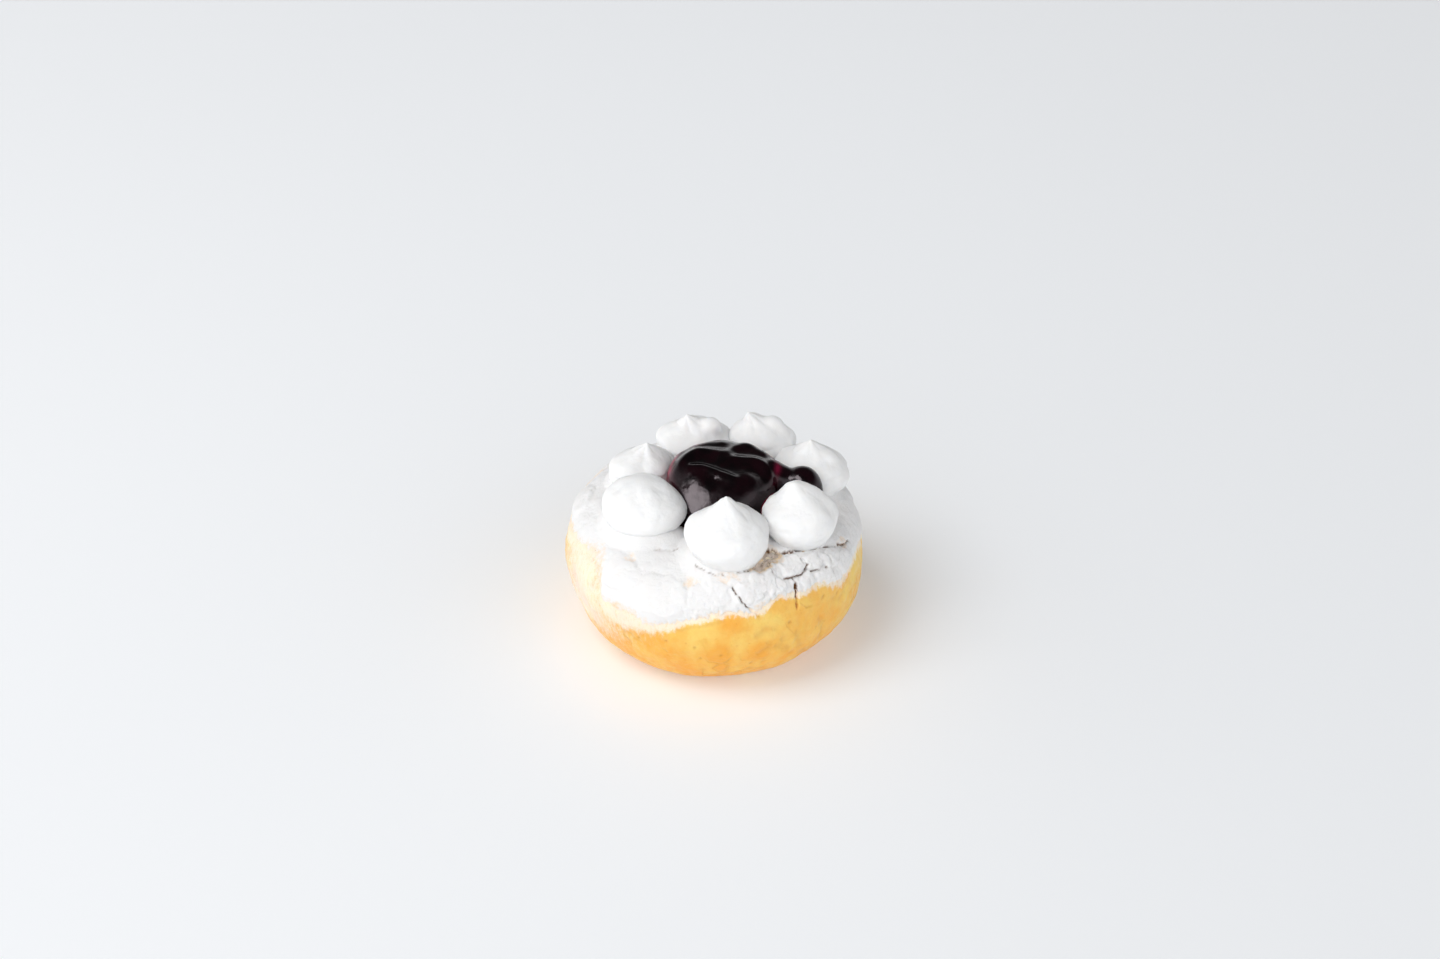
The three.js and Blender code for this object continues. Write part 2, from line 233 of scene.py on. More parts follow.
# The room
FLOOR_SIZE = 3.0                        # metres from its middle to its edge
FLOOR_DARK = (0.745, 0.76, 0.78)
FLOOR_LIGHT = (0.755, 0.77, 0.79)
FLOOR_GLOW = (0.97, 0.985, 1.0, 1)      # a little light of the floor's own keeps its shadows pale
FLOOR_GLOW_STRENGTH = 0.2
SKY_COLOUR = (0.985, 0.99, 1.0, 1)
CEILING = (0.0, 0.28, 1.0)              # the dark of the ceiling lies this way, a little to the back
CEILING_EDGE = (0.35, 0.75)             # how far a look points that way where the dark starts and is full
CEILING_LIGHT = (1.27, 0.08)            # brightness below the ceiling and in its dark
BRIGHT_SIDE = (-0.6, -0.8, 0.0)         # the room is brighter to the front and left
BRIGHT_SIDE_LIGHT = (0.82, 1.14)        # factors away from that side and towards it


# ---------------------------------------- noise and curves

GRADIENTS = np.random.default_rng(5).normal(size=(256, 3))
GRADIENTS /= np.linalg.norm(GRADIENTS, axis=1)[:, None]


def noise(points, size, seed):
    """Smooth noise, about -1 to 1, with lumps of that size in mm, at points (..., 3)."""
    flat = points.reshape(-1, 3) / size + 17.31 * seed
    cell = np.floor(flat).astype(np.int64)
    part = flat - cell
    ease = part ** 3 * (part * (part * 6 - 15) + 10)
    total = np.zeros(len(flat))
    for corner in np.ndindex(2, 2, 2):
        x, y, z = (cell + corner).T
        key = (x * 73856093) ^ (y * 19349663) ^ (z * 83492791)
        gradient = GRADIENTS[(key ^ (key >> 11)) & 255]
        weight = np.prod(np.where(corner, ease, 1 - ease), axis=1)
        total += weight * ((part - corner) * gradient).sum(axis=1)
    return (1.7 * total).reshape(points.shape[:-1])


def layered(points, size, seed, layers):
    """Noise with layers on top of each other, each half as coarse and half as strong as the last."""
    total = 0
    for layer in range(layers):
        total = total + 0.5 ** layer * noise(points, size / 2 ** layer, seed + layer)
    return total


def shaken(points, amount, size, seed):
    """The points moved about by noise, so that what is measured from them comes out ragged."""
    return points + amount * np.stack([layered(points, size, seed + axis, 2) for axis in range(3)], axis=-1)


def smoothstep(low, high, value):
    """A soft step from 0 at low to 1 at high; it falls where low is the larger."""
    share = np.clip((value - low) / (high - low), 0, 1)
    return share * share * (3 - 2 * share)


def smooth_route(points, steps):
    """A Catmull-Rom curve through points (N, D), with that many steps from each to the next."""
    points = np.asarray(points, float)
    padded = np.vstack([2 * points[0] - points[1], points, 2 * points[-1] - points[-2]])
    t = np.linspace(0, 1, steps, endpoint=False)[:, None]
    pieces = []
    for a, b, c, d in zip(padded, padded[1:], padded[2:], padded[3:]):
        pieces.append(0.5 * (2 * b + (c - a) * t + (2 * a - 5 * b + 4 * c - d) * t ** 2
                             + (3 * b - a - 3 * c + d) * t ** 3))
    return np.vstack(pieces + [points[-1:]])


def distance_to(points, route):
    """Distance of points (..., D) from a polyline (N, D)."""
    nearest = np.full(points.shape[:-1], np.inf)
    for a, b in zip(route, route[1:]):
        along = b - a
        share = np.clip(((points - a) @ along) / (along @ along), 0, 1)
        gap = np.linalg.norm(points - a - share[..., None] * along, axis=-1)
        nearest = np.minimum(nearest, gap)
    return nearest


# ---------------------------------------- the ring's surface

def power(value, exponent):
    """A power that keeps the sign of its value."""
    return np.sign(value) * np.abs(value) ** exponent


def ring_point(azimuth, angle):
    """Points of the plain ring at an azimuth and an angle round its section, both in radians."""
    azimuth, angle = np.broadcast_arrays(azimuth, angle)
    across = np.cos(angle)
    up = np.sin(angle)
    width = np.where(across >= 0, RING_RADIUS - CROWN_RADIUS, CROWN_RADIUS - HOLE_RADIUS)
    rise = np.where(up >= 0, CROWN_RISE, BELLY_DROP)
    exponent = 2 / np.where(up >= 0, UPPER_POWER, LOWER_POWER)
    radius = CROWN_RADIUS + width * power(across, exponent)
    height = EQUATOR + rise * power(up, exponent)
    depth = np.clip(1 - height / EQUATOR, 0, 1)
    outward = np.clip((radius - CROWN_RADIUS) / (RING_RADIUS - CROWN_RADIUS), 0, 1)
    side = np.cos(azimuth - math.radians(BULGE_AZIMUTH))
    radius = radius + BULGE * side * outward * np.sin(np.pi * depth)
    x = AXIS[0] + radius * np.cos(azimuth)
    y = AXIS[1] + radius * np.sin(azimuth)
    return np.stack([x, y, height], axis=-1)


def on_ring(azimuth, angle):
    """The same from degrees."""
    return ring_point(np.radians(azimuth), np.radians(angle))


def route_on_ring(route):
    """A smooth route over the plain ring through (azimuth, angle) in degrees."""
    smooth = smooth_route(route, 10)
    return on_ring(smooth[:, 0], smooth[:, 1])


def uneven(start, end, count, weight):
    """count values from start up to but without end, closer together where weight is large."""
    fine = np.linspace(start, end, 4001)
    mid = (fine[1:] + fine[:-1]) / 2
    total = np.concatenate([[0], np.cumsum(weight(mid))])
    return np.interp(np.linspace(0, total[-1], count, endpoint=False), total, fine)


def near_azimuth(azimuth, middle, width):
    """1 at the middle azimuth and falling off to both sides of it; middle and width are in degrees."""
    off = (azimuth - math.radians(middle) + np.pi) % (2 * np.pi) - np.pi
    return np.exp(-(off / math.radians(width)) ** 2)


def detail_azimuths(count):
    """Azimuths once round the ring, closest together on the cracked side."""
    def weight(azimuth):
        return 1 + 1.6 * near_azimuth(azimuth, DETAIL_AZIMUTH, DETAIL_WIDTH)
    return uneven(-np.pi, np.pi, count, weight)


def grid_normals(points):
    """Outward unit normals of a grid of points that closes on itself both ways."""
    along = np.roll(points, -1, 0) - np.roll(points, 1, 0)
    around = np.roll(points, -1, 1) - np.roll(points, 1, 1)
    normal = np.cross(along, around)
    return normal / np.maximum(np.linalg.norm(normal, axis=-1), 1e-9)[..., None]


# ---------------------------------------- meshes

def mesh_piece(name, points, faces, material, attributes=None):
    """A smooth-shaded object from points in mm and faces, with a number per point for each attribute."""
    mesh = bpy.data.meshes.new(name)
    mesh.from_pydata((points * MM).tolist(), [], faces)
    mesh.polygons.foreach_set("use_smooth", np.ones(len(mesh.polygons), bool))
    for key, values in (attributes or {}).items():
        layer = mesh.attributes.new(key, "FLOAT", "POINT")
        layer.data.foreach_set("value", np.asarray(values, np.float32).ravel())
    mesh.materials.append(material)
    mesh.update()
    piece = bpy.data.objects.new(name, mesh)
    bpy.context.scene.collection.objects.link(piece)
    return piece


def grid_faces(columns, rows, wrap=True):
    """Quads over a grid of points numbered column by column; wrap joins the last row to the first."""
    column = np.arange(columns)[:, None]
    row = np.arange(rows if wrap else rows - 1)[None, :]
    after = (column + 1) % columns
    above = (row + 1) % rows
    corners = [column * rows + row, after * rows + row, after * rows + above, column * rows + above]
    return np.stack(corners, axis=-1).reshape(-1, 4).tolist()


def place(piece, node, slot):
    """The piece rides on the one body and stands in for its CAD node, which is hidden; slot is not used."""
    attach(piece, "root")
    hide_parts(node)
    return piece


# ---------------------------------------- materials

class Shader:
    """A material under construction: a Principled shader and the nodes that feed it, scaled in mm."""

    def __init__(self, name, **values):
        self.material = bpy.data.materials.new(name)
        self.material.use_nodes = True
        self.tree = self.material.node_tree
        self.bsdf = self.tree.nodes["Principled BSDF"]
        for key, value in values.items():
            self.bsdf.inputs[key.replace("_", " ")].default_value = value
        place = self.add("ShaderNodeTexCoord")
        scale = self.add("ShaderNodeVectorMath", operation="SCALE")
        scale.inputs["Scale"].default_value = 1 / MM
        self.link(place.outputs["Object"], scale.inputs[0])
        self.mm = scale.outputs[0]

    def add(self, kind, **settings):
        node = self.tree.nodes.new(kind)
        for key, value in settings.items():
            setattr(node, key, value)
        return node

    def link(self, output, socket):
        self.tree.links.new(output, socket)

    def feed(self, socket, value):
        """Links an output to a socket, or sets the socket to a plain value."""
        if hasattr(value, "links"):
            self.link(value, socket)
        else:
            socket.default_value = value

    def attribute(self, name):
        return self.add("ShaderNodeAttribute", attribute_name=name).outputs["Fac"]

    def noise(self, size, detail=3.0, roughness=0.5, stretch=None):
        """Noise from 0 to 1 with lumps of that size; stretch scales the place along each axis."""
        node = self.add("ShaderNodeTexNoise")
        node.inputs["Scale"].default_value = 1 / size
        node.inputs["Detail"].default_value = detail
        node.inputs["Roughness"].default_value = roughness
        place = self.mm
        if stretch:
            mapping = self.add("ShaderNodeMapping")
            mapping.inputs["Scale"].default_value = stretch
            self.link(self.mm, mapping.inputs["Vector"])
            place = mapping.outputs[0]
        self.link(place, node.inputs["Vector"])
        return node.outputs["Fac"]

    def cells(self, size):
        """Distance from the nearest of many scattered points that lie about that far apart."""
        node = self.add("ShaderNodeTexVoronoi")
        node.inputs["Scale"].default_value = 1 / size
        self.link(self.mm, node.inputs["Vector"])
        return node.outputs["Distance"]

    def wrinkles(self, size, width, patch):
        """Thin wandering lines, 1 in their middle, that come and go in patches."""
        away = self.maths("ABSOLUTE", self.maths("SUBTRACT", self.noise(size, 2, 0.5), 0.5))
        return self.maths("MULTIPLY", self.rescale(away, 0.0, width, 1.0, 0.0),
                          self.rescale(self.noise(patch, 2), 0.48, 0.62))

    def maths(self, operation, a, b=0.5, clamp=False):
        node = self.add("ShaderNodeMath", operation=operation, use_clamp=clamp)
        self.feed(node.inputs[0], a)
        self.feed(node.inputs[1], b)
        return node.outputs[0]

    def rescale(self, value, low, high, to_low=0.0, to_high=1.0):
        """A soft ramp from to_low to to_high while the value goes from low to high."""
        node = self.add("ShaderNodeMapRange", interpolation_type="SMOOTHSTEP")
        self.feed(node.inputs["Value"], value)
        node.inputs["From Min"].default_value = low
        node.inputs["From Max"].default_value = high
        node.inputs["To Min"].default_value = to_low
        node.inputs["To Max"].default_value = to_high
        return node.outputs[0]

    def mix(self, share, a, b):
        """Colour a where share is 0 and colour b where it is 1."""
        node = self.add("ShaderNodeMix", data_type="RGBA")
        self.feed(node.inputs["Factor"], share)
        for socket, value in ((node.inputs[6], a), (node.inputs[7], b)):
            self.feed(socket, (*value, 1) if isinstance(value, tuple) else value)
        return node.outputs[2]

    def bump(self, heights):
        """Heights is a list of (value, depth in mm) that add up to one surface relief."""
        normal = None
        for value, depth in heights:
            node = self.add("ShaderNodeBump")
            node.inputs["Distance"].default_value = depth * MM
            self.link(value, node.inputs["Height"])
            if normal is not None:
                self.link(normal, node.inputs["Normal"])
            normal = node.outputs[0]
        self.link(normal, self.bsdf.inputs["Normal"])

    def finish(self, colour, roughness=None):
        self.link(colour, self.bsdf.inputs["Base Color"])
        if roughness is not None:
            self.link(roughness, self.bsdf.inputs["Roughness"])
        return self.material


def dough_material():
    """Golden dough, darker where toast is high, darkened by painted shade in creases, pits and under the
    cracks, and powdered where dust is high.
    """
    shader = Shader("fried_dough", Subsurface_Weight=0.2, Subsurface_Scale=0.0025, IOR=1.42)
    shader.bsdf.inputs["Subsurface Radius"].default_value = (1.0, 0.42, 0.12)
    patch = shader.rescale(shader.noise(9.0, 4, 0.55), 0.33, 0.7, -0.32, 0.32)
    vein = shader.rescale(shader.noise(4.5, 3, 0.5, (1, 1, 0.6)), 0.3, 0.7, -0.14, 0.14)
    toast = shader.maths("ADD", shader.attribute("toast"), shader.maths("ADD", patch, vein), clamp=True)
    golden = shader.mix(toast, (0.90, 0.62, 0.155), (0.88, 0.41, 0.05))
    wrinkle = shader.wrinkles(9.0, 0.045, 11.0)
    lined = shader.mix(shader.maths("MULTIPLY", wrinkle, 0.4), golden, (0.72, 0.34, 0.04))
    # Painted shade: the creases, pits and the dough under the cracks are darkened.
    deep = shader.mix(shader.attribute("hollow_shade"), lined, (0.50, 0.16, 0.02))
    freckle = shader.rescale(shader.noise(0.9, 2), 0.64, 0.78)
    speckled = shader.mix(shader.maths("MULTIPLY", freckle, 0.3), deep, (0.66, 0.27, 0.04))
    grain = shader.noise(0.35, 3, 0.7)
    streak = shader.noise(0.9, 3, 0.6, (1, 1, 0.35))
    cover = shader.maths("ADD", shader.attribute("dust"), shader.maths("ADD", grain, streak))
    share = shader.maths("MULTIPLY", shader.rescale(cover, 1.15, 2.1), 0.75)
    dusted = shader.mix(share, speckled, (0.95, 0.89, 0.81))
    dull = shader.rescale(shader.noise(2.2, 3), 0.3, 0.7, 0.28, 0.5)
    pores = shader.noise(1.1, 4, 0.6)
    shader.bump([(pores, 0.17), (shader.cells(1.5), 0.06), (grain, 0.03), (wrinkle, -0.2)])
    return shader.finish(dusted, dull)


def sugar_material():
    """White sugar that turns beige, golden and brown where thin is high, and is darkened by painted shade
    down in the cracks.
    """
    shader = Shader("icing_sugar", Subsurface_Weight=0.12, Subsurface_Scale=0.0012, IOR=1.3)
    shader.bsdf.inputs["Subsurface Radius"].default_value = (1.0, 0.8, 0.65)
    blotch = shader.rescale(shader.noise(1.6, 4, 0.65), 0.3, 0.75, -0.45, 0.45)
    thin = shader.attribute("thin")
    uneasy = shader.maths("MULTIPLY", blotch, shader.rescale(thin, 1.0, 0.6, 0.15, 0.6))
    spread = shader.maths("MULTIPLY", uneasy, shader.rescale(thin, 0.0, 0.3))
    wet = shader.maths("ADD", thin, spread, clamp=True)
    faint = shader.rescale(shader.noise(7.0, 3), 0.45, 0.75, 0.0, 0.5)
    white = shader.mix(faint, (0.86, 0.852, 0.847), (0.85, 0.825, 0.805))
    beige = shader.mix(shader.rescale(wet, 0.02, 0.4), white, (0.89, 0.79, 0.70))
    golden = shader.mix(shader.rescale(wet, 0.35, 0.75), beige, (0.87, 0.67, 0.42))
    streak = shader.rescale(shader.noise(1.3, 4, 0.6, (1, 0.5, 0.3)), 0.3, 0.7)
    brown = shader.mix(streak, (0.52, 0.41, 0.335), (0.79, 0.69, 0.61))
    tan = shader.mix(shader.rescale(wet, 0.62, 0.9), golden, brown)
    # Painted shade: near-black brown down in the cracks.
    cracked = shader.mix(shader.attribute("crack_shade"), tan, (0.16, 0.065, 0.02))
    grain = shader.noise(0.28, 3, 0.75)
    powder = shader.noise(0.8, 4, 0.7)
    shader.bump([(powder, 0.28), (grain, 0.12)])
    return shader.finish(cracked, shader.rescale(grain, 0.3, 0.7, 0.82, 0.96))


def cream_material():
    """Off-white cream with a soft sheen and fine bubbles."""
    shader = Shader("whipped_cream", Subsurface_Weight=0.3, Subsurface_Scale=0.0018, IOR=1.36)
    shader.bsdf.inputs["Subsurface Radius"].default_value = (1.0, 0.9, 0.78)
    tone = shader.rescale(shader.noise(4.0, 3), 0.3, 0.7)
    colour = shader.mix(tone, (0.845, 0.845, 0.842), (0.87, 0.87, 0.868))
    bubbles = shader.rescale(shader.cells(0.55), 0.0, 0.28)
    shader.bump([(shader.noise(1.1, 4, 0.6), 0.10), (bubbles, 0.02)])
    return shader.finish(colour, shader.rescale(shader.noise(1.5, 3), 0.3, 0.7, 0.5, 0.66))


def jam_material():
    """Near-black wet jam; where edge is high it is thin and crimson, and a painted crimson glow there
    stands for the light that comes through it.
    """
    shader = Shader("blueberry_jam", IOR=1.42, Specular_Tint=(1.0, 0.88, 0.93, 1), Emission_Strength=1.0)
    edge = shader.attribute("edge")
    swirl = shader.rescale(shader.noise(4.0, 3), 0.35, 0.7)
    deep = shader.mix(swirl, (0.0012, 0.0003, 0.0006), (0.006, 0.0006, 0.0018))
    colour = shader.mix(shader.rescale(edge, 0.0, 1.0), deep, (0.26, 0.010, 0.048))
    # Painted light: a crimson glow where the jam is thin, for the light coming through it.
    painted_glow = shader.mix(shader.rescale(edge, 0.4, 0.9), (0.0, 0.0, 0.0), (0.10, 0.003, 0.016))
    shader.link(painted_glow, shader.bsdf.inputs["Emission Color"])
    shader.bump([(shader.noise(3.2, 2, 0.5), 0.12)])
    return shader.finish(colour, shader.rescale(shader.noise(1.8, 2), 0.3, 0.7, 0.09, 0.2))


# ---------------------------------------- the dough

def sugar_edge_angle(azimuth):
    """Angle round the section, in degrees, at which the sugar ends, for azimuths in radians."""
    known = np.array(SUGAR_EDGE, float)
    degrees = (np.degrees(azimuth) + 180) % 360 - 180
    return np.interp(degrees, known[:, 0], known[:, 1], period=360)


def edge_softness(azimuth):
    """How many mm the sugar takes to thicken: on one flank it fades in slowly."""
    return 2.0 + 5.5 * near_azimuth(azimuth, FLANK_AZIMUTH, FLANK_WIDTH)


def above_edge(points, azimuth, angle):
    """Distance up the flank from the sugar's ragged edge, in mm: negative below it."""
    plain = (np.degrees(angle) - sugar_edge_angle(azimuth)) * MM_PER_DEGREE
    inner = (SUGAR_INNER_ANGLE - np.degrees(angle)) * MM_PER_DEGREE
    strokes = points * np.array([1, 1, 0.3])
    ragged = 0.8 * layered(points, 4.5, 11, 3)
    ragged = ragged + 0.7 * noise(strokes, 0.9, 31) + 0.35 * noise(points, 0.7, 41)
    return np.minimum(plain, inner) + ragged


def groove(points, lines):
    """Depth in mm of cracks or creases at each point; they waver and come and go along their routes."""
    waver = shaken(points, 0.45, 2.2, 51)
    patchy = smoothstep(-1.0, 0.05, noise(points, 2.6, 57))
    depth = np.zeros(points.shape[:-1])
    for line in lines:
        gap = distance_to(waver, route_on_ring(line["route"]))
        depth = np.maximum(depth, line["depth"] * np.exp(-(gap / line["width"]) ** 2))
    return depth * patchy


def broad_relief(points):
    """The broad undulations of the ring, in mm outward, which the sugar follows."""
    return 0.45 * layered(points, 16, 1, 2)


def dough_marks(points):
    """Creases, pits and the dough under the cracks: how deep in mm, and how much painted shade darkens
    them.
    """
    creases = groove(points, DOUGH_CREASES)
    pits = np.zeros(points.shape[:-1])
    for azimuth, angle, radius in DOUGH_PITS:
        gap = np.linalg.norm(points - on_ring(azimuth, angle), axis=-1)
        pits = np.maximum(pits, PIT_DEPTH * np.exp(-(gap / radius) ** 2))
    cracks = groove(points, SUGAR_CRACKS)
    depth = np.maximum.reduce([creases, pits, 0.5 * cracks])
    # The darkening is painted shade in the hollows.
    dark = np.maximum.reduce([0.9 * creases, 1.6 * pits, smoothstep(0.3, 1.2, cracks)])
    return depth, np.clip(dark, 0, 1)


# How far under the widest part the round section meets the flat base
BASE_ANGLE = math.asin((EQUATOR / BELLY_DROP) ** (LOWER_POWER / 2))


def dough_angles(count):
    """Angles round the section from the base's outer rim over the top to its inner rim."""
    def weight(angle):
        return 1 + 2.2 * smoothstep(math.radians(75), math.radians(20), angle)
    return uneven(-BASE_ANGLE, np.pi + BASE_ANGLE, count, weight)


def dough_body():
    """The ring of dough: its round flank, the wall of the hole and a flat base."""
    columns, side_rows, base_rows = 560, 146, 8
    azimuth = detail_azimuths(columns)[:, None]
    angle = dough_angles(side_rows)[None, :]
    side = ring_point(azimuth, angle)
    last = ring_point(azimuth, np.array([[np.pi + BASE_ANGLE]]))
    share = (np.arange(base_rows) / base_rows)[None, :, None]
    base = last * (1 - share) + side[:, :1] * share
    points = np.concatenate([side, base], axis=1)
    normals = grid_normals(points)
    depth, dark = dough_marks(points)
    relief = broad_relief(points) + 0.15 * layered(points, 3.4, 4, 3) - depth
    lift = smoothstep(0.0, 4.0, points[..., 2])
    points = points + normals * (relief * lift)[..., None]
    points[..., 2] = np.maximum(points[..., 2], 0)
    downward = np.full(base.shape[:2], -np.pi / 2)
    angles = np.concatenate([np.broadcast_to(angle, side.shape[:2]), downward], axis=1)
    edge = above_edge(points, azimuth, angles)
    soft = edge_softness(azimuth)
    veil = near_azimuth(azimuth, FLANK_AZIMUTH, VEIL_WIDTH) * smoothstep(4, 18, points[..., 2])
    dust = np.maximum(smoothstep(-0.9 * soft, 0.3, edge), veil) * (points[..., 2] > 8)
    front = 0.5 + 0.5 * np.cos(azimuth - math.radians(FRONT_AZIMUTH))
    toast = 0.16 + 0.50 * smoothstep(EQUATOR + 6, 3, points[..., 2]) + 0.25 * front
    marks = {
        "toast": toast + 0.22 * layered(points, 9, 61, 3),
        # painted shade in the creases, pits and under the cracks
        "hollow_shade": dark * 0.7,
        "dust": dust,
    }
    faces = grid_faces(columns, side_rows + base_rows)
    piece = mesh_piece("dough_body", points.reshape(-1, 3), faces, dough_material(), marks)
    return place(piece, "dough_ring", "fried_dough")


# ---------------------------------------- the sugar

def flank_offsets(points, azimuth, angle):
    """Distances across and along the flank, in mm, of points from a place on the ring."""
    middle = on_ring(azimuth, angle)
    outward = (middle - AXIS) * [1, 1, 0]
    tangent = np.cross([0, 0, 1], outward / np.linalg.norm(outward))
    across = (points - middle) @ tangent
    along = np.linalg.norm(points - middle - across[..., None] * tangent, axis=-1)
    return across, along


def bareness(points):
    """How thinly the sugar lies at each point: 0 is a full crust, 1 is bare dough."""
    bare = np.zeros(points.shape[:-1])
    ragged = shaken(points, 0.9, 2.6, 71)
    for patch in SUGAR_THIN:
        across, along = flank_offsets(ragged, *patch["at"])
        gap = np.hypot(across / patch["across"], along / patch["along"])
        bare = np.maximum(bare, patch["bare"] * smoothstep(1.3, 0.5, gap))
    return bare


def plate_lift(points):
    """Height in mm of the plates of crust, rounded off at their edges."""
    lift = np.zeros(points.shape[:-1])
    ragged = shaken(points, 0.7, 3.0, 75)
    for azimuth, angle, half_width, half_height, height in CRUST_PLATES:
        across, along = flank_offsets(ragged, azimuth, angle)
        gap = (np.abs(across / half_width) ** 2.6 + np.abs(along / half_height) ** 2.6) ** (1 / 2.6)
        lift = np.maximum(lift, 1.2 * height * smoothstep(1.08, 0.84, gap) * (1.15 - 0.25 * gap ** 2))
    return lift


def sugar_fillets(points):
    """Height in mm of the sugar gathered round the feet of the dollops."""
    fillet = np.zeros(points.shape[:-1])
    for number, style in enumerate(CREAM, 1):
        foot, radius, _ = dollop_frame(number)
        gap = np.hypot(points[..., 0] - foot[0], points[..., 1] - foot[1]) - radius
        fillet = np.maximum(fillet, style["fillet"] * smoothstep(3.2, -0.6, gap))
    return fillet


def sugar_crust():
    """The crust as a closed skin that stands off the dough, and dips under it past its ragged edge."""
    columns, rows, under_rows = 640, 132, 8
    start = math.radians(SUGAR_LOWEST_ANGLE)
    end = math.radians(SUGAR_INNER_ANGLE + 4)

    def weight(angle):
        return 1 + 1.2 * smoothstep(math.radians(80), math.radians(30), angle)

    azimuth = detail_azimuths(columns)[:, None]
    angle = uneven(start, end, rows, weight)[None, :]
    under = np.linspace(end, start, under_rows, endpoint=False)[None, :]
    angles = np.concatenate([angle, under], axis=1)
    skin = ring_point(azimuth, angles)
    heart = np.stack([
        AXIS[0] + CROWN_RADIUS * np.cos(azimuth),
        AXIS[1] + CROWN_RADIUS * np.sin(azimuth),
        np.full(azimuth.shape, EQUATOR),
    ], axis=-1)
    out = skin - heart
    out = out / np.linalg.norm(out, axis=-1)[..., None]
    edge = above_edge(skin, azimuth, angles)
    cracks = groove(skin, SUGAR_CRACKS)
    bare = bareness(skin)
    rough = near_azimuth(azimuth, ROUGH_AZIMUTH, ROUGH_WIDTH)
    lumps = 0.20 * layered(skin, 5.5, 91, 3) + (0.10 + 0.12 * rough) * layered(skin, 1.8, 95, 3)
    body = COAT_TOP - CRUST_ROOM + plate_lift(skin) + sugar_fillets(skin) + lumps
    full = body * (1 - bare) + 0.1 * bare
    soft = edge_softness(azimuth)
    thickness = (full + SKIN_DIP) * smoothstep(0.0, 1.7 * soft, edge) ** 0.6 - SKIN_DIP - cracks
    thickness = np.maximum(thickness, -0.7) - 0.7 * smoothstep(0.0, -2.0, edge)
    thickness[:, rows:] = UNDERSIDE
    marks = {
        "thin": np.maximum(bare, 0.62 * smoothstep(1.0, 0.05, edge / soft)),
        # painted shade down in the cracks
        "crack_shade": smoothstep(0.25, 1.0, cracks),
    }
    points = skin + out * (thickness + broad_relief(skin))[..., None]
    faces = grid_faces(columns, rows + under_rows)
    piece = mesh_piece("sugar_crust", points.reshape(-1, 3), faces, sugar_material(), marks)
    return place(piece, "sugar_coat", "icing_sugar")


# ---------------------------------------- the cream

def dollop_frame(number):
    """Middle of a dollop's foot, its radius and its height, from its CAD node."""
    low, high = box_mm(f"cream_dollop_{number}")
    radius = (high - low)[:2].max() / 2
    middle = (low + high) / 2
    return np.array([middle[0], middle[1], COAT_HIGH]), radius, high[2] - COAT_HIGH


def dollop_share(up):
    """Share of a dollop's radius at a share of its height."""
    outline = smooth_route(DOLLOP_OUTLINE, 8)
    return np.interp(up, outline[:, 1], outline[:, 0])


def even_outline(radius, height, rows):
    """Shares of radius and of height along a dollop's outline, evenly spaced in mm."""
    outline = smooth_route(DOLLOP_OUTLINE, 12)
    step = np.diff(outline, axis=0) * [radius, height]
    length = np.concatenate([[0], np.cumsum(np.hypot(step[:, 0], step[:, 1]))])
    places = np.linspace(0, length[-1], rows)
    return np.interp(places, length, outline[:, 0]), np.interp(places, length, outline[:, 1])


def cream_dollop(number, style, material):
    """One dollop: its outline turned round, with a coil, soft folds, lobes and a leaning tip."""
    columns, rows = 140, 100
    foot, radius, height = dollop_frame(number)
    foot[:2] += style["place"]
    radius *= style["width"]
    share, up = even_outline(radius, height, rows)
    turn = np.linspace(0, 2 * np.pi, columns, endpoint=False)[:, None]
    phase = (up[None, :] * COIL_TURNS - (turn - math.radians(style["turn"])) / (2 * np.pi)) % 1.0
    rope = np.sin(np.pi * phase) ** 0.8 - 0.6
    strength = smoothstep(0.0, 0.3, up) * smoothstep(0.98, 0.6, up)
    dome = np.sqrt(np.clip(1 - (np.clip(up - SHOULDER, 0, 1) / (1 - SHOULDER)) ** 2, 0, 1))
    share = share + style["blunt"] * np.where(up > SHOULDER, dome - share, 0)
    reach = np.maximum(radius * share + style["coil"] * rope * strength, 0.0)
    rise = np.clip(up, 0, 1) ** 2.4
    points = np.stack([
        foot[0] + reach * np.cos(turn) + style["lean"][0] * rise,
        foot[1] + reach * np.sin(turn) + style["lean"][1] * rise,
        np.broadcast_to(foot[2] + up * height, reach.shape),
    ], axis=-1)
    middle = foot + [0, 0, 0.35 * height]
    out = points - middle
    out = out / np.maximum(np.linalg.norm(out, axis=-1), 1e-6)[..., None]
    relief = 0.42 * layered(points, 7.0, style["seed"], 2)
    relief = relief + 0.09 * layered(points, 1.8, style["seed"] + 5, 2)
    swing = 2.5 * turn + 1.6 * up + 0.8 * noise(points, 9.0, style["seed"] + 9)
    relief = relief + CREAM_FOLD * np.sqrt(np.sin(swing) ** 2 + 0.08) * smoothstep(-0.1, 0.25, up)
    for azimuth, share_up, size, stand in style["lobes"]:
        across = radius * dollop_share(share_up)
        toward = math.radians(azimuth)
        lobe = foot + [across * math.cos(toward), across * math.sin(toward), share_up * height]
        gap = np.linalg.norm(points - lobe, axis=-1)
        relief = relief + stand * np.exp(-(gap / size) ** 3)
    points = points + out * (relief * smoothstep(1.0, 0.85, up))[..., None]
    points[:, -1] = points[:, -1].mean(axis=0)
    faces = grid_faces(columns, rows, wrap=False)
    piece = mesh_piece(f"cream_{number}", points.reshape(-1, 3), faces, material)
    close_ends(piece)
    return place(piece, f"cream_dollop_{number}", "whipped_cream")


def close_ends(piece):
    """Merges the points of a tip and fills an open foot."""
    work = bmesh.new()
    work.from_mesh(piece.data)
    bmesh.ops.remove_doubles(work, verts=work.verts, dist=0.01 * MM)
    rims = [edge for edge in work.edges if edge.is_boundary]
    bmesh.ops.holes_fill(work, edges=rims, sides=0)
    bmesh.ops.recalc_face_normals(work, faces=work.faces)
    work.to_mesh(piece.data)
    work.free()


# ---------------------------------------- the jam

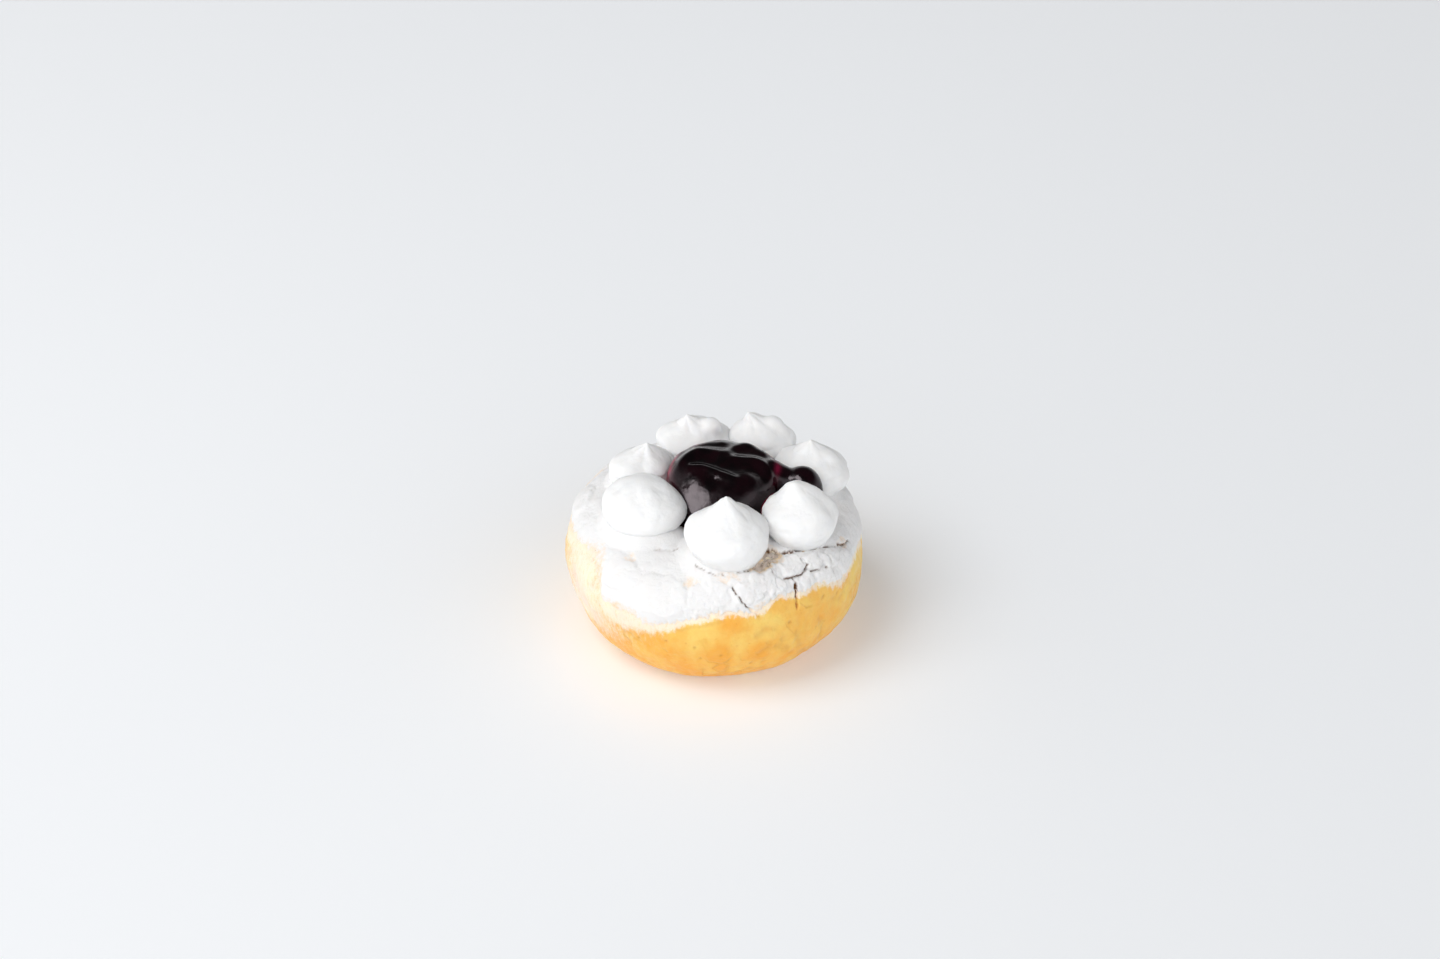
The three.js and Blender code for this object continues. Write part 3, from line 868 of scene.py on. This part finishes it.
def mound():
    """The mound as a square-shouldered dome with ridges and lumps: points from its middle, and faces."""
    columns, rows = 220, 120
    turn = np.linspace(0, 2 * np.pi, columns, endpoint=False)[:, None]
    tilt = np.linspace(-0.5 * np.pi, 0.5 * np.pi, rows)[None, :]
    across = power(np.cos(tilt), 2 / MOUND_POWER)
    up = power(np.sin(tilt), 2 / MOUND_POWER)
    radius = MOUND_RADIUS + 0.35 * np.sin(3 * turn + 1) + 0.25 * np.sin(5 * turn)
    rise = np.where(up > 0, MOUND_RISE, MOUND_DEPTH)
    points = np.stack([
        radius * across * np.cos(turn),
        radius * across * np.sin(turn),
        rise * up + 0 * turn,
    ], axis=-1)
    plan = points[..., :2].copy()
    lift = 0.35 * layered(points, 7, 101, 2)
    for ridge in JAM_RIDGES:
        gap = distance_to(plan, smooth_route(ridge["route"], 8))
        lift = lift + ridge["height"] * np.exp(-(gap / ridge["width"]) ** 2)
    for x, y, size, height in JAM_LUMPS:
        gap = np.hypot(plan[..., 0] - x, plan[..., 1] - y)
        lift = lift + height * np.exp(-(gap / size) ** 2)
    points[..., 2] += lift * smoothstep(0.1, 0.6, up)
    slope = np.array(SLOPE_NORMAL) / SLOPE_NORMAL[2]
    off = plan - SLOPE_PLACE[:2]
    flat = SLOPE_PLACE[2] - off @ slope[:2] - (off ** 2).sum(axis=-1) / SLOPE_CURVE
    over = points[..., 2] - flat            # cut off softly, and only near the top
    points[..., 2] -= 0.5 * (over + np.sqrt(over ** 2 + 0.6)) * smoothstep(-4, 2, points[..., 2])
    return points.reshape(-1, 3), grid_faces(columns, rows, wrap=False)


def ball(middle, radius, squash=1.0):
    """A finely divided ball of points and faces."""
    columns, rows = 48, 32
    turn = np.linspace(0, 2 * np.pi, columns, endpoint=False)[:, None]
    tilt = np.linspace(-0.5 * np.pi, 0.5 * np.pi, rows)[None, :]
    points = np.stack([
        middle[0] + radius * np.cos(tilt) * np.cos(turn),
        middle[1] + radius * np.cos(tilt) * np.sin(turn),
        middle[2] + squash * radius * np.sin(tilt) + 0 * turn,
    ], axis=-1)
    return points.reshape(-1, 3), grid_faces(columns, rows, wrap=False)


def jam_parts():
    """The mound, the tongue that runs out between two dollops and the plug in the hole."""
    bottom = box_mm("blueberry_jam")[0][2]
    middle = np.array([AXIS[0] + MOUND_PLACE, AXIS[1], COAT_HIGH])
    points, faces = mound()
    yield points + middle, faces
    for x, y, z, radius in smooth_route(TONGUE, 5):
        yield ball(middle + [x, y, z], radius)
    plug_middle = [AXIS[0], AXIS[1], (bottom + COAT_HIGH) / 2]
    yield ball(plug_middle, PLUG_RADIUS, (COAT_HIGH - bottom) / (2 * PLUG_RADIUS))


def jam_mass():
    """All the parts of the jam melted into one body."""
    vertices = []
    faces = []
    start = 0
    for points, quads in jam_parts():
        vertices.append(points)
        faces.extend((np.array(quads) + start).tolist())
        start += len(points)
    material = jam_material()
    rough = mesh_piece("jam_rough", np.vstack(vertices), faces, material)
    close_ends(rough)
    remesh = rough.modifiers.new("merge", "REMESH")
    remesh.mode = "VOXEL"
    remesh.voxel_size = JAM_VOXEL * MM
    soften = rough.modifiers.new("soften", "SMOOTH")
    soften.factor = 0.5
    soften.iterations = 20
    bpy.context.view_layer.update()
    evaluated = rough.evaluated_get(bpy.context.evaluated_depsgraph_get())
    shaped = bpy.data.meshes.new_from_object(evaluated)
    bpy.data.objects.remove(rough)
    shaped.name = "jam_mass"
    piece = bpy.data.objects.new("jam_mass", shaped)
    bpy.context.scene.collection.objects.link(piece)
    places = np.zeros(len(shaped.vertices) * 3)
    shaped.vertices.foreach_get("co", places)
    layer = shaped.attributes.new("edge", "FLOAT", "POINT")
    layer.data.foreach_set("value", jam_edge(places.reshape(-1, 3) / MM).astype(np.float32))
    shaped.polygons.foreach_set("use_smooth", np.ones(len(shaped.polygons), bool))
    return place(piece, "blueberry_jam", "blueberry_jam")


def jam_edge(points):
    """1 where the jam thins out against the cream or towards its rim, 0 in its depth: it sets the jam's
    crimson and its painted glow.
    """
    off = points[:, :2] - (AXIS[:2] + [MOUND_PLACE, 0])
    reach = np.hypot(off[:, 0], off[:, 1]) / MOUND_RADIUS
    behind = smoothstep(-0.7, 0.2, off[:, 1] / MOUND_RADIUS)
    start = 0.80 - 0.2 * smoothstep(0.1, 0.6, off[:, 1] / MOUND_RADIUS)
    # On the wall below the rim the crimson fades towards the back
    tall = smoothstep(0.45 * MOUND_RISE, 0.9 * MOUND_RISE, points[:, 2] - COAT_HIGH)
    wall = 0.6 * (1 - smoothstep(0.1, 0.6, off[:, 1] / MOUND_RADIUS))
    shown = tall + (1 - tall) * wall
    rim = behind * smoothstep(start, 0.95, reach) * shown * (0.75 + 0.4 * layered(points, 5, 111, 2))
    beside = np.zeros(len(points))
    for number in range(1, len(CREAM) + 1):
        foot, radius, height = dollop_frame(number)
        up = (points[:, 2] - foot[2]) / height
        gap = np.hypot(points[:, 0] - foot[0], points[:, 1] - foot[1]) - radius * dollop_share(up)
        beside = np.maximum(beside, 0.75 * smoothstep(1.0, 0.1, gap) * (up > -0.2) * (up < 1.1))
    out_on_tongue = smoothstep(0.9, 1.08, reach) * (np.abs(off[:, 1]) < 8) * (off[:, 0] > 0)
    return np.clip(np.maximum(rim * (1 - out_on_tongue), beside) * (1 - 0.7 * out_on_tongue), 0, 1)


# ---------------------------------------- floor, light and camera

def floor():
    """A pale floor with a faint unevenness of tone."""
    size = FLOOR_SIZE
    corners = [(-size, -size, 0), (size, -size, 0), (size, size, 0), (-size, size, 0)]
    mesh = bpy.data.meshes.new("floor")
    mesh.from_pydata(corners, [], [(0, 1, 2, 3)])
    shader = Shader("floor_paint", Roughness=0.8, Specular_IOR_Level=0.2,
                    Emission_Color=FLOOR_GLOW, Emission_Strength=FLOOR_GLOW_STRENGTH)
    tone = shader.rescale(shader.noise(400.0, 1), 0.3, 0.7)
    mesh.materials.append(shader.finish(shader.mix(tone, FLOOR_DARK, FLOOR_LIGHT)))
    plane = bpy.data.objects.new("floor", mesh)
    bpy.context.scene.collection.objects.link(plane)


def area_light(name, azimuth, elevation, distance, size, power_w):
    """A square light aimed at the doughnut: angles in degrees, distance and size in metres."""
    light = bpy.data.lights.new(name, "AREA")
    light.shape = "SQUARE"
    light.size = size
    light.energy = power_w
    lamp = bpy.data.objects.new(name, light)
    turn = math.radians(azimuth)
    tilt = math.radians(elevation)
    toward = Vector((math.cos(tilt) * math.cos(turn), math.cos(tilt) * math.sin(turn), math.sin(tilt)))
    lamp.location = toward * distance + Vector((0, 0, EQUATOR * MM))
    lamp.rotation_euler = toward.to_track_quat("Z", "Y").to_euler()
    bpy.context.scene.collection.objects.link(lamp)
    return lamp


def studio_world():
    """A pale room under a dark ceiling: bright low down, a little more so in front and on the left."""
    world = bpy.data.worlds.new("studio")
    bpy.context.scene.world = world
    world.use_nodes = True
    tree = world.node_tree
    background = tree.nodes["Background"]
    direction = tree.nodes.new("ShaderNodeTexCoord").outputs["Generated"]

    def brightness(axis, facing_range, light_range):
        """A soft ramp of the light over how far a direction points along the axis."""
        facing = tree.nodes.new("ShaderNodeVectorMath")
        facing.operation = "DOT_PRODUCT"
        tree.links.new(direction, facing.inputs[0])
        facing.inputs[1].default_value = axis
        ramp = tree.nodes.new("ShaderNodeMapRange")
        ramp.interpolation_type = "SMOOTHSTEP"
        for socket, number in zip(list(ramp.inputs)[1:5], (*facing_range, *light_range)):
            socket.default_value = number
        tree.links.new(facing.outputs["Value"], ramp.inputs["Value"])
        return ramp.outputs[0]

    strength = tree.nodes.new("ShaderNodeMath")
    strength.operation = "MULTIPLY"
    tree.links.new(brightness(CEILING, CEILING_EDGE, CEILING_LIGHT), strength.inputs[0])
    tree.links.new(brightness(BRIGHT_SIDE, (-1, 1), BRIGHT_SIDE_LIGHT), strength.inputs[1])
    tree.links.new(strength.outputs[0], background.inputs["Strength"])
    background.inputs["Color"].default_value = SKY_COLOUR


def lights():
    """A soft lamp from the upper left, and a lower window that only shows as a reflection."""
    soft = area_light("soft", azimuth=205, elevation=58, distance=1.4, size=0.9, power_w=10.8)
    soft.visible_glossy = False
    window = area_light("window", azimuth=202, elevation=38, distance=1.4, size=0.54, power_w=6.5)
    window.visible_diffuse = False
    studio_world()


def camera():
    """The photo's view, from the front and above."""
    tilt = math.radians(CAMERA_ELEVATION)
    back = Vector((0, -math.cos(tilt), math.sin(tilt)))
    up = Vector((0, math.sin(tilt), math.cos(tilt)))
    aim = Vector((AXIS[0] * MM + AIM_RIGHT, AXIS[1] * MM, EQUATOR * MM)) + up * AIM_UP
    lens = bpy.data.cameras.new("camera")
    lens.lens = CAMERA_LENS
    lens.sensor_width = CAMERA_SENSOR
    lens.clip_start = 0.01
    view = bpy.data.objects.new("camera", lens)
    view.location = aim + back * CAMERA_DISTANCE
    view.rotation_euler = (math.pi / 2 - tilt, 0, 0)
    bpy.context.scene.collection.objects.link(view)
    bpy.context.scene.camera = view


bpy.context.scene.view_settings.view_transform = "Standard"
dough_body()
sugar_crust()
cream = cream_material()
for number, style in enumerate(CREAM, start=1):
    cream_dollop(number, style, cream)
jam_mass()
floor()
lights()
camera()
